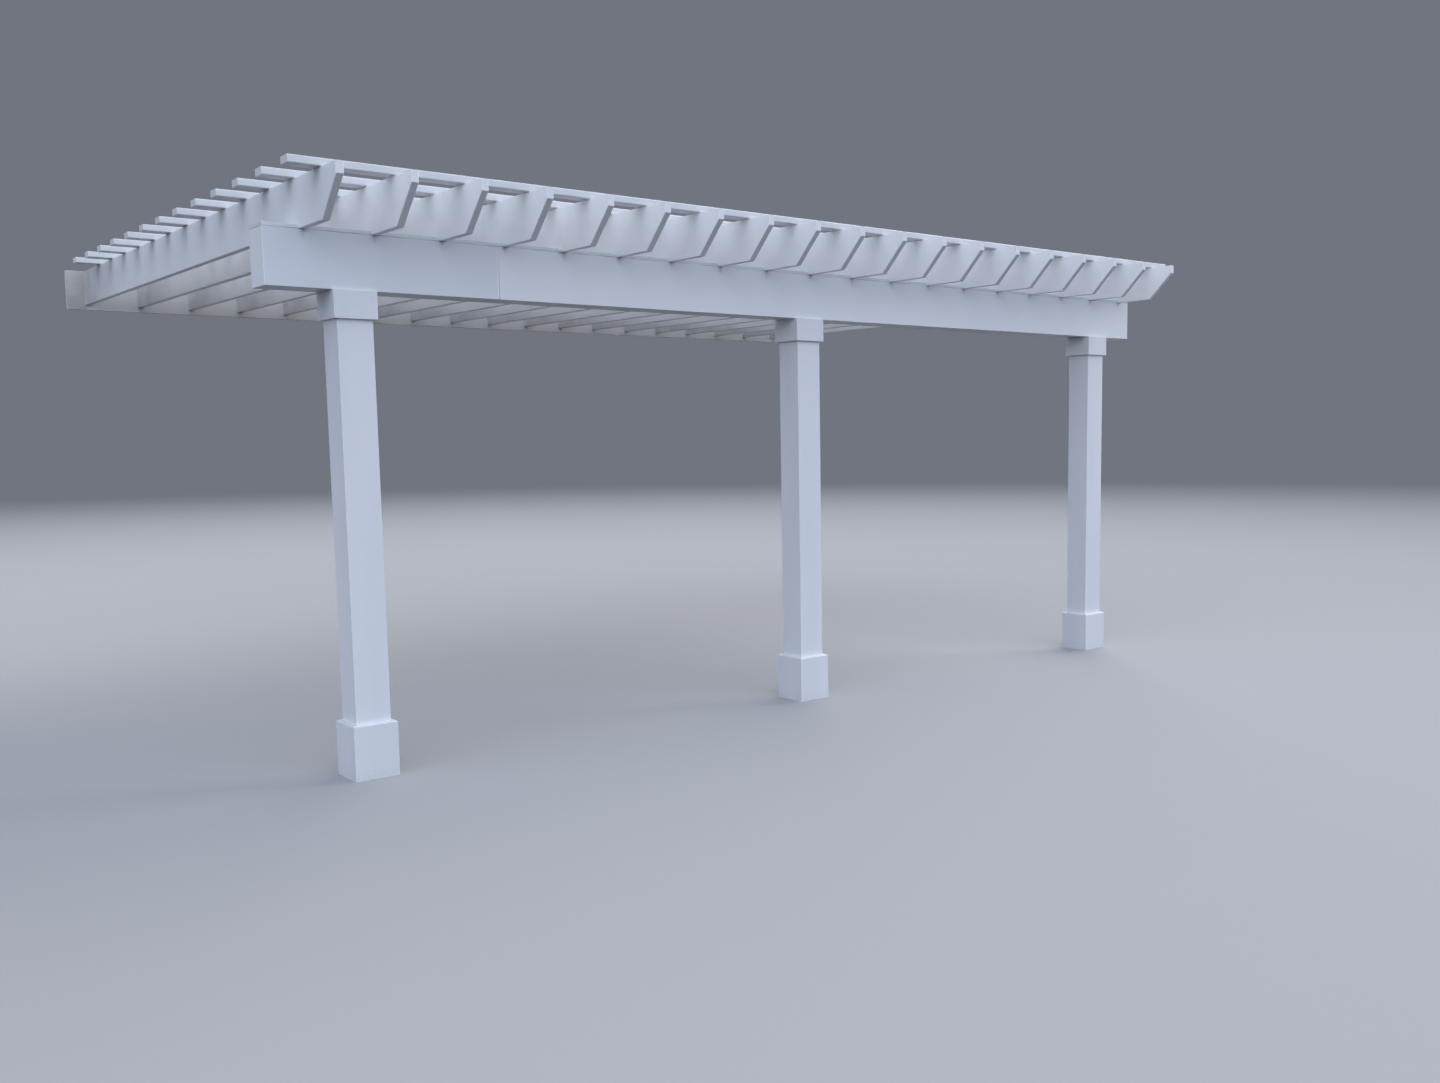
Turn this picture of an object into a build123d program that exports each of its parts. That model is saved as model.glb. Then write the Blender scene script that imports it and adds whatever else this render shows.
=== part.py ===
from build123d import *
import os

# Wall-hung pergola of white-clad timber: a ledger on the wall, one beam on three posts,
# nineteen rafters with raked tails and thirteen flat purlins across them.
# Millimetres. X runs along the wall, +Y points into the wall and +Z is up.
# The origin is the middle of the ledger's back face, which lies against the wall.

# Ledger board on the wall
ledger_length = 6746
ledger_height = 279
ledger_thickness = 44
ledger_above_ground = 2713
ledger_past_rafters = 114
ledger_edge_radius = 2

# Rafters, spread evenly along the ledger
rafter_count = 19
rafter_length = 4863
rafter_depth = 241
rafter_thickness = 38
rafter_above_ledger_bottom = 34
rafter_edge_chamfer = 2.5
tail_nib_height = 58
tail_rake_length = 190

# Beam under the rafters, clad in two runs that butt at a visible seam
beam_height = 279
beam_width = 184
beam_past_left_rafter = 175
beam_past_right_rafter = 108
beam_short_run_length = 1232
beam_edge_radius = 3

# Posts, each a square shaft with a wider base box and capital box
post_names = ["left", "middle", "right"]
post_row_from_tips = 587
left_post_from_beam_end = 434
right_post_from_beam_end = 411
shaft_width = 184
shaft_edge_radius = 3
base_thickness = 25.4
base_height = 286
base_top_bevel_width = 6
capital_thickness = 19
capital_height = 140
capital_edge_width = 2

# Purlins laid flat on the rafters
purlin_count = 13
purlin_width = 89
purlin_thickness = 38
purlin_overhang = 152
first_purlin_from_tips = 177
last_purlin_from_ledger = 433
purlin_edge_radius = 6

# Eased ends of the ledger, the purlins and the beam's two runs, which meet in a fine V at the seam
board_end_chamfer = 1.5

# Levels
ledger_bottom = -ledger_height / 2
ground = ledger_bottom - ledger_above_ground
rafter_bottom = ledger_bottom + rafter_above_ledger_bottom
rafter_top = rafter_bottom + rafter_depth
beam_bottom = rafter_bottom - beam_height

# Lines along the wall
rafter_side = ledger_length / 2 - ledger_past_rafters
rafter_spacing = (2 * rafter_side - rafter_thickness) / (rafter_count - 1)
beam_left = -rafter_side - beam_past_left_rafter
beam_right = rafter_side + beam_past_right_rafter
beam_seam = beam_left + beam_short_run_length
left_post = beam_left + left_post_from_beam_end
right_post = beam_right - right_post_from_beam_end
post_spacing = (right_post - left_post) / (len(post_names) - 1)
purlin_length = 2 * (rafter_side + purlin_overhang)

# Lines out from the wall
rafter_back = -ledger_thickness
rafter_tip = rafter_back - rafter_length
post_row = rafter_tip + post_row_from_tips
first_purlin = rafter_tip + first_purlin_from_tips + purlin_width / 2
last_purlin = rafter_back - last_purlin_from_ledger - purlin_width / 2
purlin_spacing = (last_purlin - first_purlin) / (purlin_count - 1)


def board(length, width, height, edge_radius):
    """Board along X, centred on X and Y and standing on z = 0, long edges rounded and ends eased."""
    profile = RectangleRounded(width, height, edge_radius)
    bar = extrude(Plane.YZ.offset(-length / 2) * Pos(0, height / 2) * profile, amount=length)
    return chamfer(bar.faces().filter_by(Axis.X).edges(), board_end_chamfer)


def rafter():
    """Rafter on the X = 0 plane: square at the wall, with a plumb nib and a raked cut at the tail."""
    with BuildPart() as part:
        with BuildSketch(Plane.YZ.offset(-rafter_thickness / 2)):
            with BuildLine():
                Polyline(
                    (rafter_back, rafter_bottom),
                    (rafter_back, rafter_top),
                    (rafter_tip, rafter_top),
                    (rafter_tip, rafter_top - tail_nib_height),
                    (rafter_tip + tail_rake_length, rafter_bottom),
                    close=True,
                )
            make_face()
        extrude(amount=rafter_thickness)
        sides = part.faces().filter_by(Axis.X)
        rims = sides.edges().filter_by(lambda edge: edge.center().Y < rafter_back)
        chamfer(rims, rafter_edge_chamfer)
    return part.part


def post_shaft():
    """Square shaft on z = 0, from the ground to the beam, with its four corners rounded."""
    section = RectangleRounded(shaft_width, shaft_width, shaft_edge_radius)
    return extrude(section, amount=beam_bottom - ground)


def casing_box(thickness, height):
    """Square box of boards around a shaft, standing on z = 0."""
    outer = shaft_width + 2 * thickness
    return extrude(Rectangle(outer, outer) - Rectangle(shaft_width, shaft_width), amount=height)


def post_base():
    """Base box around the shaft's foot, its top bevelled outwards to shed water."""
    box = casing_box(base_thickness, base_height)
    rim = box.faces().sort_by(Axis.Z)[-1].outer_wire().edges()
    return chamfer(rim, base_top_bevel_width)


def post_capital():
    """Capital box around the shaft's head, its lower outer edges eased."""
    box = casing_box(capital_thickness, capital_height)
    rim = box.faces().sort_by(Axis.Z)[0].outer_wire().edges()
    return chamfer(rim, capital_edge_width)


def beam_run(start, end):
    """One run of the beam, from x = start to x = end, sitting on the posts."""
    run = board(end - start, beam_width, beam_height, beam_edge_radius)
    return Pos((start + end) / 2, post_row, beam_bottom) * run


nodes = {}

ledger = board(ledger_length, ledger_thickness, ledger_height, ledger_edge_radius)
nodes["ledger_board"] = Pos(0, -ledger_thickness / 2, ledger_bottom) * ledger

nodes["beam_short_run"] = beam_run(beam_left, beam_seam)
nodes["beam_long_run"] = beam_run(beam_seam, beam_right)

for index, name in enumerate(post_names):
    x = left_post + index * post_spacing
    nodes[f"{name}_post_shaft"] = Pos(x, post_row, ground) * post_shaft()
    nodes[f"{name}_post_base"] = Pos(x, post_row, ground) * post_base()
    nodes[f"{name}_post_capital"] = Pos(x, post_row, beam_bottom - capital_height) * post_capital()

one_rafter = rafter()
for index in range(rafter_count):
    x = (index - (rafter_count - 1) / 2) * rafter_spacing
    nodes[f"rafter_{index + 1:02d}"] = Pos(x, 0, 0) * one_rafter

one_purlin = board(purlin_length, purlin_width, purlin_thickness, purlin_edge_radius)
for index in range(purlin_count):
    y = first_purlin + index * purlin_spacing
    nodes[f"purlin_{index + 1:02d}"] = Pos(0, y, rafter_top) * one_purlin

os.makedirs("parts", exist_ok=True)
for name, solid in nodes.items():
    solid.label = name
    export_step(solid, f"parts/{name}.step")
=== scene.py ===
"""A white pergola hung on a wall: its ledger, posts, beam, rafters and purlins, and their finishes.

Metres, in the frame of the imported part: X runs along the wall, +Y into the wall, +Z is up, and the
origin is the middle of the ledger's back face.
"""

import math

import bpy
import numpy as np
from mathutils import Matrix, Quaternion, Vector


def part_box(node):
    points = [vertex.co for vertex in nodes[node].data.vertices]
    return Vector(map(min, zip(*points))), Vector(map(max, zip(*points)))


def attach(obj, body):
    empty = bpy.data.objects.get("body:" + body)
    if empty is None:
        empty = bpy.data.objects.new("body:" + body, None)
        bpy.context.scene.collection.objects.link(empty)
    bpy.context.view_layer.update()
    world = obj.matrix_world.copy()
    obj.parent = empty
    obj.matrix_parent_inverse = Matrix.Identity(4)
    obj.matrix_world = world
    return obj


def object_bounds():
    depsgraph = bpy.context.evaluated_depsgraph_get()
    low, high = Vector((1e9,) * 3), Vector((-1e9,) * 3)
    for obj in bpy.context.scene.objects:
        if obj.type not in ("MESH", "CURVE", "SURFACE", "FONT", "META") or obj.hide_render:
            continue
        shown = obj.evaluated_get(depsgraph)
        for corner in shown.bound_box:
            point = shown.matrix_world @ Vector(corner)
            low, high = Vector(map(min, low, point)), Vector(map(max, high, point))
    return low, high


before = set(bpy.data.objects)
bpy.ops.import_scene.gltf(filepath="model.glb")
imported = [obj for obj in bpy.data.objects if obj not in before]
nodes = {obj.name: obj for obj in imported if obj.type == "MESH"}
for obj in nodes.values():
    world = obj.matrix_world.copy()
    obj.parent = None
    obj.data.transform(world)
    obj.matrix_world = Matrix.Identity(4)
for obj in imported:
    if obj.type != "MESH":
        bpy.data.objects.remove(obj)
cad_low, cad_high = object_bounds()
mm = 0.001


# Ledger board
# One long board bolted flat to the wall, which all the rafters end on. It is cased in white
# cellular PVC, extruded flat and left with the satin skin that it has off the line.

def linear(code):
    """sRGB hex colour to the four linear values that a shader takes."""
    srgb = np.array([int(code[i : i + 2], 16) for i in (1, 3, 5)]) / 255
    light = np.where(srgb <= 0.04045, srgb / 12.92, ((srgb + 0.055) / 1.055) ** 2.4)
    return (*light, 1.0)


def add(tree, kind, inputs=(), **settings):
    """Adds one node: its own settings, then each input, by name or number, as a value or a link."""
    node = tree.nodes.new("ShaderNode" + kind)
    for name, value in settings.items():
        setattr(node, name, value)
    for key, value in dict(inputs).items():
        if isinstance(value, bpy.types.NodeSocket):
            tree.links.new(value, node.inputs[key])
        else:
            node.inputs[key].default_value = value
    return node


def stain(material, colour, *shares):
    """Mixes one more colour over the skin that the shader has, by the product of sockets from 0 to 1."""
    tree = material.node_tree
    share = shares[0]
    for other in shares[1:]:
        share = add(tree, "Math", {0: share, 1: other}, operation="MULTIPLY").outputs[0]
    skin = tree.nodes["Principled BSDF"].inputs["Base Color"]
    mix = {0: share, 6: skin.links[0].from_socket, 7: linear(colour)}
    tree.links.new(add(tree, "Mix", mix, data_type="RGBA").outputs[2], skin)


# A face begins to count as a board's end where its normal has the first share along the board, and
# fully counts at the second.
end_from, end_full = 0.55, 0.68

# Most of a noise lies between these two values.
noise_low, noise_high = 0.35, 0.65


def casing_white(name, along, clean, aged, roughness, spread=None, dust_share=0.30, sawn_share=1.0):
    """White cladding of boards that run along one axis.

    Tone: a slow noise drawn out along the boards, and, where spread gives the boards' axis, first
    place and pitch, one random number a board, mix the clean white and the aged one.
    Relief: noise drawn out into the fine lines of the die, plus a slow wave of the thin wall.
    Sawn ends, whose normal lies along the boards, are rougher, duller and open-pored, by a share
    that is nought where an end is closed with a board. What faces up carries a patchy film of dust.
    """
    board_length, board_width, lot_share = 2.6, 0.34, 0.6
    line_pitch, line_depth = 12 * mm, 0.10 * mm
    wave_length, wave_depth = 240 * mm, 0.9 * mm
    pore_pitch, pore_depth = 7 * mm, 0.35 * mm
    pore_wall, pore_middle, fleck_least, fleck_most = 0.62, 0.40, 0.10, 0.50
    patch_width, dust_from = 90 * mm, 0.5
    gloss_change, sawn_gloss = 0.07, 0.62

    material = bpy.data.materials.new(name)
    material.use_nodes = True
    tree = material.node_tree
    shader = tree.nodes["Principled BSDF"]
    place = add(tree, "TexCoord").outputs["Object"]

    slow = [1 / board_length if axis == along else 1 / board_width for axis in "XYZ"]
    board = add(tree, "Mapping", {"Vector": place, "Scale": slow}).outputs[0]
    drift = add(tree, "TexNoise", {"Vector": board, "Scale": 1.0, "Detail": 3.0}).outputs["Fac"]
    tone = {"Value": drift, "From Min": noise_low, "From Max": noise_high}
    tone = add(tree, "MapRange", tone).outputs[0]
    if spread:
        axis, first, pitch = spread
        across = add(tree, "SeparateXYZ", {0: place}).outputs[axis]
        count = add(tree, "Math", {0: across, 1: first}, operation="SUBTRACT").outputs[0]
        count = add(tree, "Math", {0: count, 1: pitch}, operation="DIVIDE").outputs[0]
        count = add(tree, "Math", {0: count}, operation="ROUND").outputs[0]
        lot = add(tree, "TexWhiteNoise", {"W": count}, noise_dimensions="1D").outputs["Value"]
        tone = add(tree, "Mix", {0: lot_share, 2: tone, 3: lot}).outputs[0]
    skin = add(tree, "Mix", {0: tone, 6: linear(clean), 7: linear(aged)}, data_type="RGBA").outputs[2]
    tree.links.new(skin, shader.inputs["Base Color"])

    fast = [1 / board_length if axis == along else 1 / line_pitch for axis in "XYZ"]
    lines = add(tree, "Mapping", {"Vector": place, "Scale": fast}).outputs[0]
    streak = add(tree, "TexNoise", {"Vector": lines, "Scale": 1.0, "Detail": 1.0}).outputs["Fac"]
    wave = add(tree, "TexNoise", {"Vector": place, "Scale": 1 / wave_length, "Detail": 0.0}).outputs["Fac"]
    pores = add(tree, "TexNoise", {"Vector": place, "Scale": 1 / pore_pitch, "Detail": 2.0}).outputs["Fac"]

    normal = add(tree, "SeparateXYZ", {0: add(tree, "NewGeometry").outputs["True Normal"]}).outputs
    facing = add(tree, "Math", {0: normal[along]}, operation="ABSOLUTE").outputs[0]
    sawn = {"Value": facing, "From Min": end_from, "From Max": end_full, "To Max": sawn_share}
    sawn = add(tree, "MapRange", sawn).outputs[0]
    flecks = {"Value": pores, "From Min": pore_wall, "From Max": pore_middle}
    flecks = add(tree, "MapRange", {**flecks, "To Min": fleck_least, "To Max": fleck_most}).outputs[0]
    stain(material, "#D9DCE1", sawn, flecks)

    patch = add(tree, "TexNoise", {"Vector": place, "Scale": 1 / patch_width, "Detail": 4.0}).outputs["Fac"]
    dust = {"Value": normal["Z"], "From Min": dust_from, "From Max": 1.0, "To Max": 2 * dust_share}
    dust = add(tree, "MapRange", dust).outputs[0]
    stain(material, "#C9C7BF", dust, patch)

    gloss = {"Value": streak, "To Min": roughness - gloss_change, "To Max": roughness + gloss_change}
    gloss = add(tree, "MapRange", gloss).outputs[0]
    gloss = add(tree, "Mix", {0: sawn, 2: gloss, 3: sawn_gloss}).outputs[0]
    tree.links.new(gloss, shader.inputs["Roughness"])
    relief = add(tree, "Math", {0: streak, 1: line_depth}, operation="MULTIPLY").outputs[0]
    relief = add(tree, "Math", {0: wave, 1: wave_depth, 2: relief}, operation="MULTIPLY_ADD").outputs[0]
    rough = add(tree, "Math", {0: sawn, 1: pore_depth}, operation="MULTIPLY").outputs[0]
    relief = add(tree, "Math", {0: pores, 1: rough, 2: relief}, operation="MULTIPLY_ADD").outputs[0]
    bump = add(tree, "Bump", {"Height": relief, "Distance": 1.0, "Strength": 1.0})
    tree.links.new(bump.outputs[0], shader.inputs["Normal"])
    shader.inputs["IOR"].default_value = 1.53
    return material


def dress(material, *names):
    """Gives each named CAD piece that one material."""
    for name in names:
        mesh = nodes[name].data
        mesh.materials.clear()
        mesh.materials.append(material)


# The real die lines are 2 mm apart and the pores under 1 mm wide: both are drawn coarser to show.
ledger_white = casing_white("cellular_pvc_ledger", "X", "#E8E6E2", "#E0DEDA", 0.44)
dress(ledger_white, "ledger_board")


# Posts
# Three square posts, each a timber cased in four boards of cellular PVC. A wider box of thicker
# board hides the foot, and one of thinner board makes the capital under the beam.

post_white = casing_white("cellular_pvc_post", "Z", "#EAECF0", "#E1E4EA", 0.42, dust_share=0.14)
for side in ("left", "middle", "right"):
    dress(post_white, side + "_post_shaft", side + "_post_base", side + "_post_capital")

# Rain splashes a little fine grit up the foot of the base boxes. Its specks are drawn 14 mm wide
# to show.
splash_height, splash_share = 90 * mm, 0.30
grit_width, grit_from, grit_full = 14 * mm, 0.42, 0.75
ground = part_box("left_post_base")[0].z
tree = post_white.node_tree
place = add(tree, "TexCoord").outputs["Object"]
height = add(tree, "SeparateXYZ", {0: place}).outputs["Z"]
splash = {"Value": height, "From Min": ground + splash_height, "From Max": ground, "To Max": splash_share}
splash = add(tree, "MapRange", splash, interpolation_type="SMOOTHSTEP").outputs[0]
grit = add(tree, "TexNoise", {"Vector": place, "Scale": 1 / grit_width, "Detail": 5.0}).outputs["Fac"]
grit = add(tree, "MapRange", {"Value": grit, "From Min": grit_from, "From Max": grit_full}).outputs[0]
stain(post_white, "#B9B4A8", splash, grit)


# Beam
# A doubled timber across the posts, cased in cellular PVC and closed with a board at both ends. The
# long face takes two lengths of board, which butt left of the middle.

short_run_white = casing_white(
    "cellular_pvc_beam_short_run", "X", "#E3E6EC", "#DCE0E7", 0.44, sawn_share=0.0)
long_run_white = casing_white(
    "cellular_pvc_beam_long_run", "X", "#ECEEF2", "#E6E9EE", 0.42, sawn_share=0.0)
dress(short_run_white, "beam_short_run")
dress(long_run_white, "beam_long_run")

# Painted light: the board that closes the left end is painted whiter, as though lit as brightly as the beam's
# front.
tree = short_run_white.node_tree
normal = add(tree, "SeparateXYZ", {0: add(tree, "NewGeometry").outputs["True Normal"]}).outputs["X"]
left_end_painted_light = add(tree, "MapRange", {"Value": normal, "From Min": -end_from, "From Max": -end_full}).outputs[0]
stain(short_run_white, "#F2F4F8", left_end_painted_light)

# Painted shade: under each rafter's foot the beam's face is darkened in a short grey run, where the rafter
# shades it.
foot_shade_width, foot_shade_core, foot_shade_length, foot_shade_share = 30 * mm, 9 * mm, 60 * mm, 0.42
foot_shade_wander, wander_pitch = 26 * mm, 55 * mm
rafter_x = [(low.x + high.x) / 2 for low, high in (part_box(f"rafter_{n:02d}") for n in range(1, 20))]
rafter_pitch = rafter_x[1] - rafter_x[0]
beam_front, beam_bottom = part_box("beam_long_run")[0].y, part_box("beam_long_run")[0].z
beam_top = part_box("beam_long_run")[1].z
for white in (short_run_white, long_run_white):
    tree = white.node_tree
    place = add(tree, "TexCoord").outputs["Object"]
    spot = add(tree, "SeparateXYZ", {0: place}).outputs
    wander = add(tree, "TexNoise", {"Vector": place, "Scale": 1 / wander_pitch, "Detail": 2.0}).outputs["Fac"]
    aside = add(tree, "Math", {0: spot["X"], 1: rafter_x[0]}, operation="SUBTRACT").outputs[0]
    aside = add(tree, "Math", {0: aside, 1: rafter_pitch / 2}, operation="PINGPONG").outputs[0]
    aside = add(tree, "Math", {0: wander, 1: foot_shade_wander, 2: aside}, operation="MULTIPLY_ADD").outputs[0]
    across = {"Value": aside, "From Min": foot_shade_width, "From Max": foot_shade_core}
    across = add(tree, "MapRange", across, interpolation_type="SMOOTHSTEP").outputs[0]
    down = {"Value": spot["Z"], "From Min": beam_top - foot_shade_length, "From Max": beam_top, "To Max": foot_shade_share}
    down = add(tree, "MapRange", down, interpolation_type="SMOOTHSTEP").outputs[0]
    stain(white, "#A9ACB3", across, down)

# Soot settles in the open joint of the two lengths, more towards the foot. The line is drawn 5 mm
# wide to show.
joint_line, joint_share_top, joint_share_foot = 5 * mm, 0.08, 0.50
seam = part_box("beam_long_run")[0].x
tree = long_run_white.node_tree
spot = add(tree, "SeparateXYZ", {0: add(tree, "TexCoord").outputs["Object"]}).outputs
beside = {"Value": spot["X"], "From Min": seam + joint_line, "From Max": seam + 0.5 * joint_line}
beside = add(tree, "MapRange", beside).outputs[0]
below = {"Value": spot["Z"], "From Min": beam_top, "From Max": beam_bottom}
below = add(tree, "MapRange", {**below, "To Min": joint_share_top, "To Max": joint_share_foot}).outputs[0]
stain(long_run_white, "#8B9099", beside, below)


# Rafters
# Nineteen boards on edge from the ledger out over the beam, each with a short plumb nib and a long
# raked cut at the tail. They are sleeved in extruded vinyl, whiter and glossier than the boards.

def paint_shade_and_grime(material, *shares):
    """Paints shade, with some grime in it, on a material: a grey stain by the sockets and by a patchy noise
    that takes up to a quarter away.
    """
    tree = material.node_tree
    place = add(tree, "TexCoord").outputs["Object"]
    uneven = add(tree, "TexNoise", {"Vector": place, "Scale": 1 / shade_patch, "Detail": 3.0}).outputs["Fac"]
    uneven = {"Value": uneven, "From Min": noise_low, "From Max": noise_high, "To Min": 0.75}
    uneven = add(tree, "MapRange", uneven).outputs[0]
    stain(material, "#84837F", *shares, uneven)


rafter_spread = ("X", rafter_x[0], rafter_pitch)
rafter_white = casing_white("extruded_vinyl_rafter", "Y", "#F5F6F9", "#ECEFF3", 0.38, rafter_spread)
dress(rafter_white, *[name for name in nodes if name.startswith("rafter_")])

# Painted shade: the rafters grey towards their wall ends, as the house wall would shade them there, with some
# grey film of grime in it.
shade_reach, shade_patch, shade_share = 1150 * mm, 160 * mm, 0.62
wall_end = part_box("rafter_01")[1].y
tree = rafter_white.node_tree
out = add(tree, "SeparateXYZ", {0: add(tree, "TexCoord").outputs["Object"]}).outputs["Y"]
near = {"Value": out, "From Min": wall_end - shade_reach, "From Max": wall_end, "To Max": shade_share}
paint_shade_and_grime(rafter_white, add(tree, "MapRange", near, interpolation_type="SMOOTHSTEP").outputs[0])

# The same painted shade, with some grime in it, lies on the front of the ledger's two ends, which run on past
# the outer rafters under the eave that would shade them.
end_shade_edge, end_shade_share = 20 * mm, 0.60
outer_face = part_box("rafter_19")[1].x
tree = ledger_white.node_tree
spot = add(tree, "SeparateXYZ", {0: add(tree, "TexCoord").outputs["Object"]}).outputs
aside = add(tree, "Math", {0: spot["X"]}, operation="ABSOLUTE").outputs[0]
past = {"Value": aside, "From Min": outer_face - end_shade_edge, "From Max": outer_face}
past = add(tree, "MapRange", {**past, "To Max": end_shade_share}, interpolation_type="SMOOTHSTEP").outputs[0]
front = add(tree, "MapRange", {"Value": spot["Y"], "From Min": 0.0, "From Max": wall_end}).outputs[0]
paint_shade_and_grime(ledger_white, past, front)


# Beam cover boards
# Short lengths of thinner cellular PVC board that close the beam's casing on top, one in each bay
# between the rafters and one at each end. Their long edges lie flush with the beam's faces.

def shell(name, rings, material, smooth=True):
    """Closed surface from a grid of points, station by ring, whose end stations are both drawn to a pole.

    Neighbours on the grid make four-sided faces. Each pole is the middle of its end station.
    """
    stations, around = rings.shape[:2]
    station, spot = np.meshgrid(np.arange(stations - 1), np.arange(around), indexing="ij")
    here, beside = station * around + spot, station * around + (spot + 1) % around
    walls = np.stack([here, here + around, beside + around, beside], axis=-1).reshape(-1, 4)
    spot = np.arange(around)
    last = (stations - 1) * around
    first_pole, last_pole = stations * around, stations * around + 1
    first_cap = np.stack([np.full(around, first_pole), spot, (spot + 1) % around], axis=-1)
    last_cap = np.stack([np.full(around, last_pole), last + (spot + 1) % around, last + spot], axis=-1)
    points = np.vstack([rings.reshape(-1, 3), rings[0].mean(axis=0), rings[-1].mean(axis=0)])
    mesh = bpy.data.meshes.new(name)
    mesh.from_pydata(points.tolist(), [], walls.tolist() + first_cap.tolist() + last_cap.tolist())
    if smooth:
        mesh.shade_smooth()
    mesh.materials.append(material)
    piece = bpy.data.objects.new(name, mesh)
    bpy.context.scene.collection.objects.link(piece)
    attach(piece, "root")


def cover_board(first, last, edge, steps=4):
    """Board along X from first to last: a rectangle with rounded corners, carried along X.

    Each point lies at its corner's centre plus the edge's radius, less an inset, at even angles
    over a quarter turn. The inset is nought between the ends and 0.7 of the radius at both.
    """
    middle = 0.5 * (beam_front + beam_back), beam_top + 0.5 * cover_thickness
    turn = np.linspace(0, np.pi / 2, steps) + np.pi / 2 * np.arange(4)[:, None]
    front = np.array([1, -1, -1, 1])[:, None] * (0.5 * (beam_back - beam_front) - edge)
    top = np.array([1, 1, -1, -1])[:, None] * (0.5 * cover_thickness - edge)
    inset = 0.7 * edge
    along = np.array([first, first + inset, last - inset, last])
    radius = edge - np.array([inset, 0, 0, inset])[:, None, None]
    out = (middle[0] - front - radius * np.cos(turn)).reshape(4, -1)
    up = (middle[1] + top + radius * np.sin(turn)).reshape(4, -1)
    return np.stack([along[:, None] + 0 * out, out, up], axis=-1)


cover_thickness, cover_edge, cover_gap = 19 * mm, 1.5 * mm, 1 * mm
beam_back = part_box("beam_long_run")[1].y
rafter_half = (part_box("rafter_01")[1].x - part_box("rafter_01")[0].x) / 2
cover_spread = ("X", rafter_x[0] + 0.5 * rafter_pitch, rafter_pitch)
cover_white = casing_white(
    "cellular_pvc_cover_board", "X", "#E4E7EC", "#DCE0E6", 0.44, cover_spread)
starts = [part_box("beam_short_run")[0].x] + [x + rafter_half + cover_gap for x in rafter_x]
stops = [x - rafter_half - cover_gap for x in rafter_x] + [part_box("beam_long_run")[1].x]
for number, (start, stop) in enumerate(zip(starts, stops), 1):
    rings = cover_board(start, stop, cover_edge)
    shell(f"beam_cover_board_{number:02d}", rings, cover_white, smooth=False)

# The joint under the cover boards darkens as well, here more and there less: soot settles in it, and the
# groove's shade is painted there too.
groove, soot_and_shade_width = 3 * mm, 120 * mm
soot_and_shade_from, soot_and_shade_full, soot_and_shade_least, soot_and_shade_most = 0.40, 0.65, 0.05, 0.48
for white in (short_run_white, long_run_white, cover_white):
    tree = white.node_tree
    place = add(tree, "TexCoord").outputs["Object"]
    height = add(tree, "SeparateXYZ", {0: place}).outputs["Z"]
    away = add(tree, "Math", {0: height, 1: beam_top}, operation="SUBTRACT").outputs[0]
    away = add(tree, "Math", {0: away}, operation="ABSOLUTE").outputs[0]
    line = add(tree, "MapRange", {"Value": away, "From Min": groove, "From Max": 0.6 * groove}).outputs[0]
    soot_and_shade = add(tree, "TexNoise", {"Vector": place, "Scale": 1 / soot_and_shade_width, "Detail": 2.0}).outputs["Fac"]
    soot_and_shade = {"Value": soot_and_shade, "From Min": soot_and_shade_from, "From Max": soot_and_shade_full}
    soot_and_shade = add(tree, "MapRange", {**soot_and_shade, "To Min": soot_and_shade_least, "To Max": soot_and_shade_most}).outputs[0]
    stain(white, "#8B9099", line, soot_and_shade)


# Sealant
# White acrylic sealant out of a gun. Along the beam's seam it was wiped down with a finger, which
# left a thin uneven smear on the shorter board. The foot of one rafter holds a dab left unwiped.

def smear(path, width, height, around=16):
    """Smear up a wall that faces -Y, as half an ellipse carried along an upright path.

    At each station the ring is width wide along X and height proud along -Y, with its flat side
    sunk 0.3 of that height into the wall. Width and height fall off at both ends by the square root
    of 1 - |t|^30, t going from -1 to 1 along the path, and so stay full almost to the ends.
    """
    along = np.linspace(-1, 1, len(path))[:, None]
    taper = np.sqrt(np.maximum(1 - np.abs(along) ** 30, 1e-4))
    turn = np.linspace(0, 2 * np.pi, around, endpoint=False)[None, :]
    side = 0.5 * width[:, None] * taper * np.cos(turn)
    proud = height * taper * np.maximum(np.sin(turn), -0.3)
    return np.stack([path[:, :1] + side, path[:, 1:2] - proud, path[:, 2:] + 0 * turn], axis=-1)


def dab(centre, size, lump, around=20, stations=13):
    """Dab: a ball of diameter 1, squashed to size, its radius swelled and dented by two slow waves.

    The waves are sin(2 turn + 3 tilt) and sin(3 turn - 2 tilt + 1). Lump sets their height, which
    falls off with sin(tilt) to nought at the poles.
    """
    tilt = np.linspace(0.02, np.pi - 0.02, stations)[:, None]
    turn = np.linspace(0, -2 * np.pi, around, endpoint=False)[None, :]
    radius = 0.5 + lump * np.sin(tilt) * (np.sin(2 * turn + 3 * tilt) + np.sin(3 * turn - 2 * tilt + 1.0))
    level = radius * np.sin(tilt)
    ball = np.stack([level * np.cos(turn), level * np.sin(turn), -radius * np.cos(tilt)], axis=-1)
    return centre + ball * np.array(size)


# Cured acrylic: a little glossier than the boards, still clean where they have dulled, and pulled
# into fine ridges by the finger that wiped it.
sealant = bpy.data.materials.new("acrylic_sealant")
sealant.use_nodes = True
tree = sealant.node_tree
shader = tree.nodes["Principled BSDF"]
ridge_pitch, ridge_depth, cloud_width = 1.2 * mm, 0.15 * mm, 18 * mm
place = add(tree, "TexCoord").outputs["Object"]
cloud = add(tree, "TexNoise", {"Vector": place, "Scale": 1 / cloud_width, "Detail": 2.0}).outputs["Fac"]
skin = {0: cloud, 6: linear("#F1F2F5"), 7: linear("#E8EAEE")}
tree.links.new(add(tree, "Mix", skin, data_type="RGBA").outputs[2], shader.inputs["Base Color"])
fine = (1 / ridge_pitch, 1 / ridge_pitch, 1 / cloud_width)
ridges = add(tree, "Mapping", {"Vector": place, "Scale": fine}).outputs[0]
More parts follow.
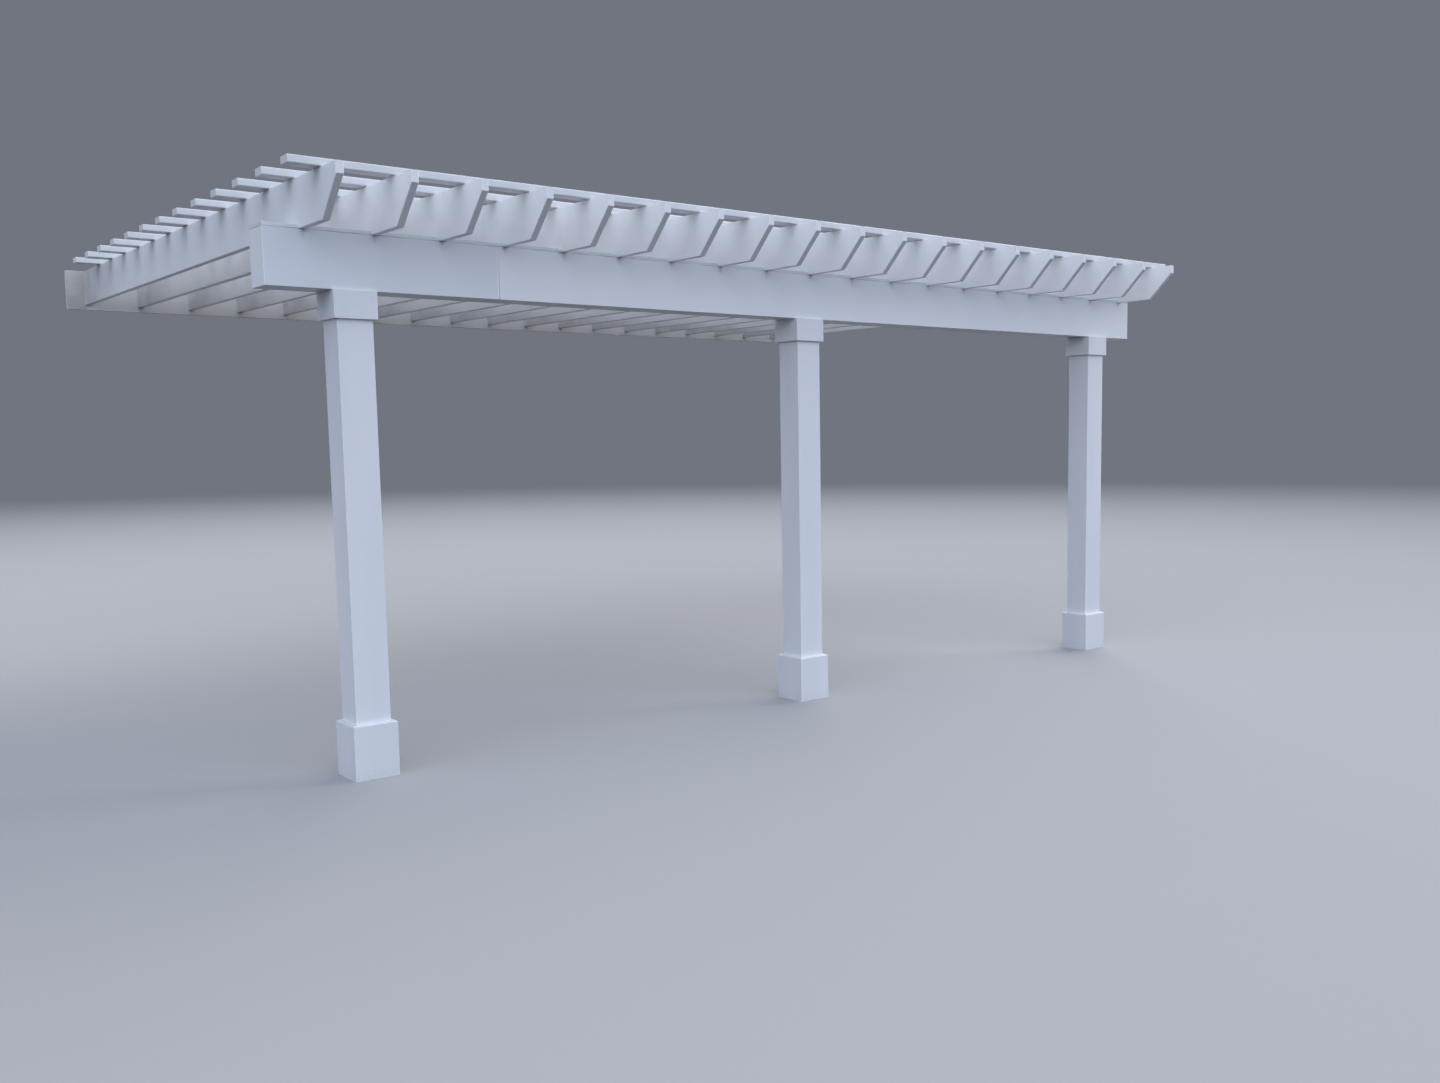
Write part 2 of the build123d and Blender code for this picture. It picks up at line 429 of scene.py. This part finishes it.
ridges = add(tree, "TexNoise", {"Vector": ridges, "Scale": 1.0, "Detail": 2.0}).outputs["Fac"]
height = add(tree, "Math", {0: ridges, 1: ridge_depth}, operation="MULTIPLY").outputs[0]
bump = add(tree, "Bump", {"Height": height, "Distance": 1.0, "Strength": 1.0}).outputs[0]
tree.links.new(bump, shader.inputs["Normal"])
shader.inputs["Roughness"].default_value = 0.34
shader.inputs["IOR"].default_value = 1.48

# The smear's width wavers by a long wave and a shorter, lower one.
smear_width, smear_height, smear_stations = 8.5 * mm, 0.7 * mm, 90
smear_wander, long_wave, short_wave, short_share = 0.9 * mm, 34 * mm, 13 * mm, 0.6
edge_gap, end_gap = 1 * mm, 5 * mm
up = np.linspace(beam_bottom + end_gap, beam_top - end_gap, smear_stations)
wave = np.sin(up / long_wave) + short_share * np.sin(up / short_wave + 2.0)
width = smear_width + smear_wander * wave
middle = seam - edge_gap - 0.5 * width
path = np.stack([middle, np.full_like(up, beam_front), up], axis=-1)
shell("seam_sealant", smear(path, width, smear_height), sealant)

# The dab sits in the corner on the left of the fifth rafter's foot.
dab_size, dab_offset, dab_lump = (36 * mm, 22 * mm, 30 * mm), (-6 * mm, -1 * mm, 9 * mm), 0.05
corner = np.array([rafter_x[4] - rafter_half, beam_front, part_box("rafter_05")[0].z])
shell("rafter_05_sealant_dab", dab(corner + np.array(dab_offset), dab_size, dab_lump), sealant)


# Purlins
# Thirteen flat slats of extruded vinyl across the rafters, screwed down at each crossing and cut
# square past the outer rafters.

purlin_y = [(low.y + high.y) / 2 for low, high in (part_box(f"purlin_{n:02d}") for n in range(1, 14))]
purlin_spread = ("Y", purlin_y[0], purlin_y[1] - purlin_y[0])
purlin_white = casing_white("extruded_vinyl_purlin", "X", "#E2E4E8", "#D8DBDF", 0.36, purlin_spread)
dress(purlin_white, *[name for name in nodes if name.startswith("purlin_")])


# Purlin screws
# Two white-coated stainless screws hold each purlin down on each rafter. Only their pan heads show,
# from above, each with the socket of its driver in the middle.

def turned_heads(places, profile, sides):
    """Like heads on many places: the profile, as radius and height, turned about Z on each of them.

    Every ring of the profile has as many points as there are sides, and both ends of the profile
    close on a pole on the axis.
    """
    turn = 2 * np.pi * np.arange(sides) / sides
    circle = np.stack([np.cos(turn), np.sin(turn), 0 * turn], axis=-1)
    rings = profile[1:-1, :1, None] * circle + profile[1:-1, 1:, None] * np.array([0, 0, 1])
    poles = [(0, 0, profile[0, 1]), (0, 0, profile[-1, 1])]
    head = np.vstack([rings.reshape(-1, 3), poles])
    ring, spot = np.meshgrid(np.arange(len(rings) - 1), np.arange(sides), indexing="ij")
    here, beside = ring * sides + spot, ring * sides + (spot + 1) % sides
    walls = np.stack([here, beside, beside + sides, here + sides], axis=-1).reshape(-1, 4)
    spot = np.arange(sides)
    last, bottom, top = (len(rings) - 1) * sides, len(head) - 2, len(head) - 1
    foot = np.stack([(spot + 1) % sides, spot, np.full(sides, bottom)], axis=-1)
    crown = np.stack([last + spot, last + (spot + 1) % sides, np.full(sides, top)], axis=-1)
    step = (len(head) * np.arange(len(places)))[:, None, None]
    points = (places[:, None, :] + head).reshape(-1, 3)
    faces = (walls + step).reshape(-1, 4).tolist()
    return points, faces + (foot + step).reshape(-1, 3).tolist() + (crown + step).reshape(-1, 3).tolist()


head_radius, head_height, socket_radius, socket_depth = 4.5 * mm, 2.4 * mm, 1.5 * mm, 1.6 * mm
head_sunk, head_sides = 0.3 * mm, 10
screw_offset = 22 * mm
purlin_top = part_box("purlin_01")[1].z
rows = np.array([y + side * screw_offset for y in purlin_y for side in (-1, 1)])
lines, rows = np.meshgrid(rafter_x, rows)
screw_places = np.stack([lines.ravel(), rows.ravel(), np.full(lines.size, purlin_top)], axis=-1)

# From the pole under the head out to its rim, up over the rounded shoulder and down into the socket.
head_profile = np.array([
    (0, -head_sunk),
    (head_radius, -head_sunk),
    (head_radius, 0.45 * head_height),
    (0.72 * head_radius, 0.92 * head_height),
    (socket_radius, head_height),
    (0.85 * socket_radius, head_height - socket_depth),
    (0, head_height - socket_depth),
])
screw_points, screw_faces = turned_heads(screw_places, head_profile, head_sides)
screw_mesh = bpy.data.meshes.new("purlin_screws")
screw_mesh.from_pydata(screw_points.tolist(), [], screw_faces)
screws = bpy.data.objects.new("purlin_screws", screw_mesh)
bpy.context.scene.collection.objects.link(screws)
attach(screws, "root")

# Powder coat on steel: a slightly cooler and glossier white than the vinyl, orange-peeled, and
# worn to a grey here and there by the driver.
coat = bpy.data.materials.new("powder_coated_screw")
coat.use_nodes = True
tree = coat.node_tree
shader = tree.nodes["Principled BSDF"]
peel_pitch, peel_depth = 0.9 * mm, 0.04 * mm
wear_width, wear_from, wear_full = 5 * mm, 0.55, 0.70
place = add(tree, "TexCoord").outputs["Object"]
wear = add(tree, "TexNoise", {"Vector": place, "Scale": 1 / wear_width, "Detail": 3.0}).outputs["Fac"]
wear = add(tree, "MapRange", {"Value": wear, "From Min": wear_from, "From Max": wear_full}).outputs[0]
skin = {0: wear, 6: linear("#E4E7EB"), 7: linear("#A4A8AD")}
tree.links.new(add(tree, "Mix", skin, data_type="RGBA").outputs[2], shader.inputs["Base Color"])
peel = add(tree, "TexNoise", {"Vector": place, "Scale": 1 / peel_pitch, "Detail": 1.0}).outputs["Fac"]
height = add(tree, "Math", {0: peel, 1: peel_depth}, operation="MULTIPLY").outputs[0]
bump = add(tree, "Bump", {"Height": height, "Distance": 1.0, "Strength": 1.0}).outputs[0]
tree.links.new(bump, shader.inputs["Normal"])
shader.inputs["Roughness"].default_value = 0.30
shader.inputs["IOR"].default_value = 1.52
screw_mesh.materials.append(coat)


# Floor and light
# A plain pale floor at the posts' feet in a soft dome of light, which is brightest at the front
# left, with one broad lamp on the right that fills the bays between the rafters.

def seen_share(tree):
    """1 for the camera's own rays and those that it sends on by gloss or through glass, else 0."""
    path = add(tree, "LightPath").outputs
    seen = add(tree, "Math", {0: path["Is Camera Ray"], 1: path["Is Glossy Ray"]}, operation="MAXIMUM")
    seen = {0: seen.outputs[0], 1: path["Is Transmission Ray"]}
    return add(tree, "Math", seen, operation="MAXIMUM").outputs[0]


floor_level = cad_low.z
floor_reach = 300.0
floor_corners = [(-1, -1), (1, -1), (1, 1), (-1, 1)]
floor_mesh = bpy.data.meshes.new("floor")
floor_points = [(floor_reach * x, floor_reach * y, floor_level) for x, y in floor_corners]
floor_mesh.from_pydata(floor_points, [], [(0, 1, 2, 3)])
floor = bpy.data.objects.new("floor", floor_mesh)
bpy.context.scene.collection.objects.link(floor)

# The floor fades into the backdrop, and lights the pergola from below less than it looks.
backdrop = linear("#70757F")
floor_seen, floor_bounce = linear("#B0B1B3"), linear("#403F3F")
fade_from, fade_to = 7.0, 40.0
floor_paint = bpy.data.materials.new("studio_floor")
floor_paint.use_nodes = True
tree = floor_paint.node_tree
tree.nodes.clear()
seen = seen_share(tree)
colour = add(tree, "Mix", {0: seen, 6: floor_bounce, 7: floor_seen}, data_type="RGBA").outputs[2]
near = add(tree, "BsdfDiffuse", {"Color": colour}).outputs[0]
far = add(tree, "Emission", {"Color": backdrop}).outputs[0]
distance = add(tree, "VectorMath", {0: add(tree, "TexCoord").outputs["Object"]}, operation="LENGTH")
fade = {"Value": distance.outputs["Value"], "From Min": fade_from, "From Max": fade_to}
haze = add(tree, "MapRange", fade, interpolation_type="SMOOTHSTEP").outputs[0]
seen_haze = add(tree, "Math", {0: haze, 1: seen}, operation="MULTIPLY").outputs[0]
mixed = add(tree, "MixShader", {0: seen_haze, 1: near, 2: far}).outputs[0]
add(tree, "OutputMaterial", {"Surface": mixed})
floor_mesh.materials.append(floor_paint)

dome_tint = linear("#E1EBFF")
dome_faint, dome_brightest = 0.06, 1.96
dome_axis, dome_faint_from, dome_bright_to = (-0.57, -0.78, 0.25), -0.10, 0.95
world = bpy.data.worlds.new("soft_dome")
world.use_nodes = True
bpy.context.scene.world = world
tree = world.node_tree
tree.nodes.clear()
ray = add(tree, "TexCoord").outputs["Generated"]
along = add(tree, "VectorMath", {0: ray, 1: dome_axis}, operation="DOT_PRODUCT").outputs["Value"]
dome = {"Value": along, "From Min": dome_faint_from, "From Max": dome_bright_to}
dome = {**dome, "To Min": dome_faint, "To Max": dome_brightest}
strength = add(tree, "MapRange", dome, interpolation_type="SMOOTHSTEP").outputs[0]
light = add(tree, "Background", {"Color": dome_tint, "Strength": strength}).outputs[0]
sky = add(tree, "Background", {"Color": backdrop}).outputs[0]
mixed = add(tree, "MixShader", {0: seen_share(tree), 1: light, 2: sky}).outputs[0]
add(tree, "OutputWorld", {"Surface": mixed})

lamp_around, lamp_above, lamp_spread = math.radians(105), math.radians(24), math.radians(80)
lamp_strength = 4.2
level = math.cos(lamp_above)
towards = Vector((math.sin(lamp_around) * level, -math.cos(lamp_around) * level, math.sin(lamp_above)))
lamp = bpy.data.objects.new("right_lamp", bpy.data.lights.new("right_lamp", "SUN"))
lamp.data.color = linear("#F9F8F9")[:3]
lamp.data.energy = lamp_strength
lamp.data.angle = lamp_spread
lamp.rotation_mode = "QUATERNION"
lamp.rotation_quaternion = towards.to_track_quat("Z", "Y")
bpy.context.scene.collection.objects.link(lamp)


# Camera
# Out in front of the left end of the beam, at eye height. The picture's middle lies a little off
# the lens's own, which the shift gives.

image_width = 1440
focal_pixels = 1317.6
view_centre_left, view_centre_up = 68.3, 35.5
eye = Vector((-5.6258, -10.8844, -1.1367))
yaw, pitch, roll = (math.radians(angle) for angle in (39.889, -6.042, -0.732))

ahead = Vector((math.sin(yaw) * math.cos(pitch), math.cos(yaw) * math.cos(pitch), math.sin(pitch)))
camera = bpy.data.objects.new("camera", bpy.data.cameras.new("camera"))
camera.data.sensor_width = 36.0
camera.data.lens = camera.data.sensor_width * focal_pixels / image_width
camera.data.shift_x = -view_centre_left / image_width
camera.data.shift_y = view_centre_up / image_width
camera.data.clip_end = 1000.0
camera.location = eye
camera.rotation_mode = "QUATERNION"
camera.rotation_quaternion = ahead.to_track_quat("-Z", "Y") @ Quaternion((0, 0, 1), roll)
bpy.context.scene.collection.objects.link(camera)
bpy.context.scene.camera = camera

bpy.context.scene.view_settings.view_transform = "Standard"
